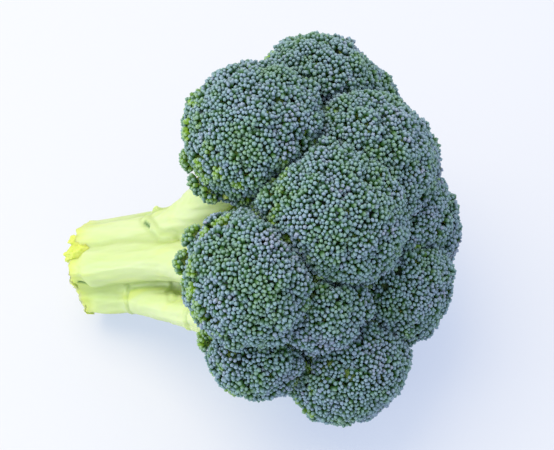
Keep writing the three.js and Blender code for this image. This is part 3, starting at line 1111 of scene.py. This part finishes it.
def stalk_relief(plan, points, normals):
    """Moves the skin's points for ridges, scars, slits and the rough cut: (points, scar, slit, dryness)."""
    along = (points - CROWN_CENTRE) @ AXIS
    squeeze = 0.16  # along the axis, so that noise makes long streaks
    stretched = points + np.outer(along * (squeeze - 1), AXIS)
    move = (
        0.22 * soft_noise(stretched, 4.5, SEEDS["skin"])
        + 0.12 * soft_noise(stretched, 2.2, SEEDS["fine skin"]))
    scar = np.zeros(len(points))
    paths = {floret.name: branch_path(floret) for floret in plan}
    for name, share, lean, height in RINGS:
        path, radii = paths[name]
        station = along_path(path, [share - 0.02, share, share + 0.02])
        radius = radii[int(share * (len(radii) - 1))]
        tangent = unit(station[2] - station[0])
        outwards = unit(station[1] - spot(float((station[1] - CROWN_CENTRE) @ AXIS), 0, 0))
        plane = unit(tangent + lean * outwards)
        off = points - station[1]
        near = np.linalg.norm(off, axis=1) < radius + 3.5
        away = off @ plane + 0.35 * soft_noise(points, 6.0, SEEDS["ring"])
        ridge = swell(away, 0.8) * near
        groove = swell(away - 1.5, 0.7) * near
        move += height * ridge - 0.7 * height * groove
        scar = np.maximum(scar, 0.8 * groove + 0.5 * ridge)
    for corners in SCAR_LINES:
        away = line_distance(points, [spot(*corner) for corner in corners])
        ridge = swell(away, 1.1)
        groove = swell(away - 2.2, 0.8)
        move += 0.7 * ridge - 0.25 * groove
        scar = np.maximum(scar, 0.6 * groove + 0.5 * ridge)
    slit = np.zeros(len(points))
    for corners in SLITS:
        away = line_distance(points, [spot(*corner) for corner in corners])
        slit = np.maximum(slit, limit(1.5 * swell(away, 0.9) - 0.3))
    move -= 0.8 * slit
    points = points + normals * move[:, None]
    knife = math.cos(CUT_SLANT) * -AXIS + math.sin(CUT_SLANT) * -np.cross(FRONT, -AXIS)
    off = points - spot(CUT_END, 0, 0)
    # the cut runs further back on the lower front side
    beyond = off @ knife + 0.16 * np.maximum(off @ unit(FRONT * 0.55 - UP * 0.83) - 2, 0)
    dryness = limit(1 + (beyond + 1.0) / 9.0) ** 1.5
    streaks = limit(soft_noise(stretched, 6.0, SEEDS["streaks"]) - 0.5) * limit((-along - 35) / 45)
    dryness = np.maximum(dryness, 0.8 * streaks)
    rough = (
        0.7 * soft_noise(points, 5.0, SEEDS["cut"])
        + 0.35 * soft_noise(points, 2.0, SEEDS["fine cut"]) - 0.6)
    cut = beyond > rough
    points[cut] -= np.outer((beyond - rough)[cut], knife)
    return points, scar, slit, dryness


def fuse(name, shapes, voxel, rounds, material):
    """One skin round all the shapes, smoothed that many times."""
    piece = make_mesh_object(name, *join_shapes(shapes), material)
    remesh = piece.modifiers.new("Fuse", "REMESH")
    remesh.mode = "VOXEL"
    remesh.voxel_size = voxel
    if rounds:
        soften = piece.modifiers.new("Soften", "SMOOTH")
        soften.factor = 0.5
        soften.iterations = rounds
    return make_plain(piece, material)


def place_points(mesh, points):
    """Puts a mesh's points at places in millimetres."""
    mesh.vertices.foreach_set("co", (points * MM).ravel())


def build_stalk(plan, material):
    core = np.linspace(spot(CUT_END - 5, 0, 0), spot(FORK + 14, 0, 0), 20)
    shares = np.linspace(0, 1, 20)
    shapes = [rod(core, CORE_RADIUS + 3 * np.sin(math.pi * shares) - 3 * shares, 24)]
    for floret in plan:
        points, radii = branch_path(floret)
        shapes.append(rod(points, radii, 20))
    low, high, thick, thin = STUMP
    shapes.append(rod(np.linspace(spot(*low), spot(*high), 6), np.linspace(thick, thin, 6), 14))
    piece = fuse("stalk_skin", shapes, SKIN_VOXEL, SKIN_ROUNDS, material)
    mesh = piece.data
    points, scar, slit, dryness = stalk_relief(plan, mesh_points(mesh), mesh_normals(mesh))
    keep_above(points, LOWEST_SKIN)
    place_points(mesh, points)
    # The depth of the hollows paints shade into the skin's hollows, and its reverse a highlight onto the ridges
    hollow = hollows(mesh, points, mesh_normals(mesh), HOLLOW_ROUNDS) / HOLLOW_DEPTH
    marks = {
        "hollow": limit(hollow), "ridge": limit(-hollow), "scar": scar, "slit": slit,
        "dryness": dryness}
    for label, values in marks.items():
        store_values(mesh, label, values)
    shade_smooth(mesh)
    mesh.update()
    return piece


def build_fibres(material):
    """The dry, torn skin at the cut end."""
    rng = np.random.default_rng(SEEDS["slivers"])
    shapes = []
    for _ in range(FIBRES):
        turn = rng.uniform(-14, 30)
        start = spot(CUT_END + rng.uniform(9, 14), rng.uniform(14.5, 16.5), turn)
        end = spot(CUT_END + rng.uniform(0.5, 4.5), rng.uniform(14.0, 18.2), turn + rng.uniform(-8, 8))
        bow = 0.5 * (start + end) + UP * rng.uniform(-0.2, 1.2) + FRONT * rng.uniform(-0.5, 0.8)
        path = bezier(start, 0.4 * start + 0.6 * bow, 0.5 * bow + 0.5 * end, end, 7)
        keep_above(path, 2.0)
        shapes.append(rod(path, rng.uniform(0.8, 1.7) * np.array([0.6, 0.9, 1.1, 1, 0.9, 0.75, 0.5]), 8))
    piece = fuse("stalk_fibres", shapes, FIBRE_VOXEL, 0, material)
    mesh = piece.data
    points = mesh_points(mesh)
    move = (
        0.35 * soft_noise(points, 3.0, SEEDS["sliver"])
        + 0.18 * soft_noise(points, 1.4, SEEDS["fine sliver"]))
    points += mesh_normals(mesh) * move[:, None]
    keep_above(points, LOWEST_FIBRE)
    place_points(mesh, points)
    shade_smooth(mesh)
    mesh.update()
    return piece


def finish_piece(piece, node):
    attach(piece, BODY)
    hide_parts(node)


class BROCCOLI_OT_stalk(bpy.types.Operator):
    """Grow the forked stalk"""
    bl_idname = "broccoli.stalk"
    bl_label = "Stalk"

    def execute(self, context):
        colours = context.scene.broccoli_colours
        skin = stalk_material(colours)
        dry = stem_material("Dry Fibres", colours.stem_dry, colours.stem_dry_deep)
        finish_piece(build_stalk(plan_florets(), skin), "stalk")
        finish_piece(build_fibres(dry), "stalk")
        return {"FINISHED"}


class BROCCOLI_OT_florets(bpy.types.Operator):
    """Cover each floret with buds"""
    bl_idname = "broccoli.florets"
    bl_label = "Florets"

    def execute(self, context):
        colours = context.scene.broccoli_colours
        settings = context.scene.broccoli_buds
        buds, flesh = bud_material(colours), flesh_material(colours)
        twigs = stem_material("Small Stems", colours.twig_pale, colours.twig_deep)
        beads, stems = bud_tree(buds), stem_tree(twigs)
        for floret in plan_florets():
            node = f"floret_{floret.name}"
            finish_piece(build_buds(floret, settings, beads, buds), node)
            finish_piece(build_flesh(floret, settings, flesh), node)
            finish_piece(build_stems(floret, settings, stems, twigs), node)
        return {"FINISHED"}


class BROCCOLI_OT_stage(bpy.types.Operator):
    """Set the table, the light and the camera"""
    bl_idname = "broccoli.stage"
    bl_label = "Stage"

    def execute(self, context):
        stage = context.scene.broccoli_stage
        build_floor(stage)
        build_light()
        build_camera(stage)
        return {"FINISHED"}


# The stage, in metres

FLOOR_REACH = 30.0
LAMP_AIM = (0, 0, 0.05)
# name: watts, width, colour, place
LAMPS = {
    "Window": (10.5, 1.0, (1.0, 0.88, 0.64), (-0.42, 0.10, 1.12)),
    "Bounce": (3, 0.4, (0.92, 0.97, 1.0), (-0.60, -0.50, 0.12)),
}
# The photograph's frame in pixels, and where the crown's centre lies in it
PHOTO_WIDTH, PHOTO_HEIGHT = 554, 450
CROWN_X, CROWN_Y = 300, 232


def build_floor(stage):
    size = FLOOR_REACH
    mesh = bpy.data.meshes.new("table_top")
    corners = [(-size, -size, 0), (size, -size, 0), (size, size, 0), (-size, size, 0)]
    mesh.from_pydata(corners, [], [(0, 1, 2, 3)])
    material, tree, shader = new_material("Pale Table")
    feed(tree, shader, {
        "Base Color": (*stage.floor_colour, 1), "Emission Color": (*stage.floor_glow, 1),
        "Emission Strength": 1.0, "Roughness": 0.8, "Specular IOR Level": 0.1})
    mesh.materials.append(material)
    add_object("table_top", mesh)


def build_light():
    scene = bpy.context.scene
    world = bpy.data.worlds.new("Soft Room")
    world.use_nodes = True
    sky = world.node_tree.nodes["Background"]
    feed(world.node_tree, sky, {"Color": (0.80, 0.88, 1.0, 1), "Strength": 0.95})
    scene.world = world
    for name, (watts, width, colour, place) in LAMPS.items():
        lamp = bpy.data.lights.new(name, "AREA")
        lamp.energy, lamp.size, lamp.color = watts, width, colour
        holder = add_object(name, lamp)
        holder.location = place
        holder.rotation_euler = (Vector(LAMP_AIM) - holder.location).to_track_quat("-Z", "Y").to_euler()
    scene.view_settings.view_transform = "Standard"
    scene.view_settings.look = "None"


def build_camera(stage):
    data = bpy.data.cameras.new("Camera")
    data.lens = stage.lens
    data.sensor_width = 36
    camera = add_object("Camera", data)
    a, e = stage.azimuth, stage.elevation
    back = Vector((math.sin(a) * math.cos(e), -math.cos(a) * math.cos(e), math.sin(e)))
    camera.location = Vector(CROWN_CENTRE * MM) + back * stage.distance
    camera.rotation_euler = back.to_track_quat("Z", "Y").to_euler()
    data.shift_x = (PHOTO_WIDTH / 2 - CROWN_X) / PHOTO_WIDTH
    data.shift_y = (CROWN_Y - PHOTO_HEIGHT / 2) / PHOTO_WIDTH
    bpy.context.scene.camera = camera


class BROCCOLI_PT_panel(bpy.types.Panel):
    bl_label = "Broccoli Head"
    bl_idname = "BROCCOLI_PT_panel"
    bl_space_type = "VIEW_3D"
    bl_region_type = "UI"
    bl_category = "Broccoli"

    def draw(self, context):
        layout = self.layout
        scene = context.scene
        for title, group in (
                ("Colours", scene.broccoli_colours), ("Buds", scene.broccoli_buds),
                ("Stage", scene.broccoli_stage)):
            box = layout.box()
            box.label(text=title)
            for label in group.__annotations__:
                box.prop(group, label)
        for operator in OPERATORS:
            layout.operator(operator.bl_idname)


GROUPS = {
    "broccoli_colours": BroccoliColours,
    "broccoli_buds": BroccoliBuds,
    "broccoli_stage": BroccoliStage,
}
OPERATORS = (BROCCOLI_OT_stage, BROCCOLI_OT_stalk, BROCCOLI_OT_florets)
CLASSES = (*GROUPS.values(), *OPERATORS, BROCCOLI_PT_panel)


def register():
    for cls in CLASSES:
        bpy.utils.register_class(cls)
    for label, group in GROUPS.items():
        setattr(bpy.types.Scene, label, PointerProperty(type=group))


def unregister():
    for label in GROUPS:
        delattr(bpy.types.Scene, label)
    for cls in reversed(CLASSES):
        bpy.utils.unregister_class(cls)


def main():
    register()
    bpy.ops.broccoli.stage()
    bpy.ops.broccoli.stalk()
    bpy.ops.broccoli.florets()


if __name__ == "__main__":
    main()
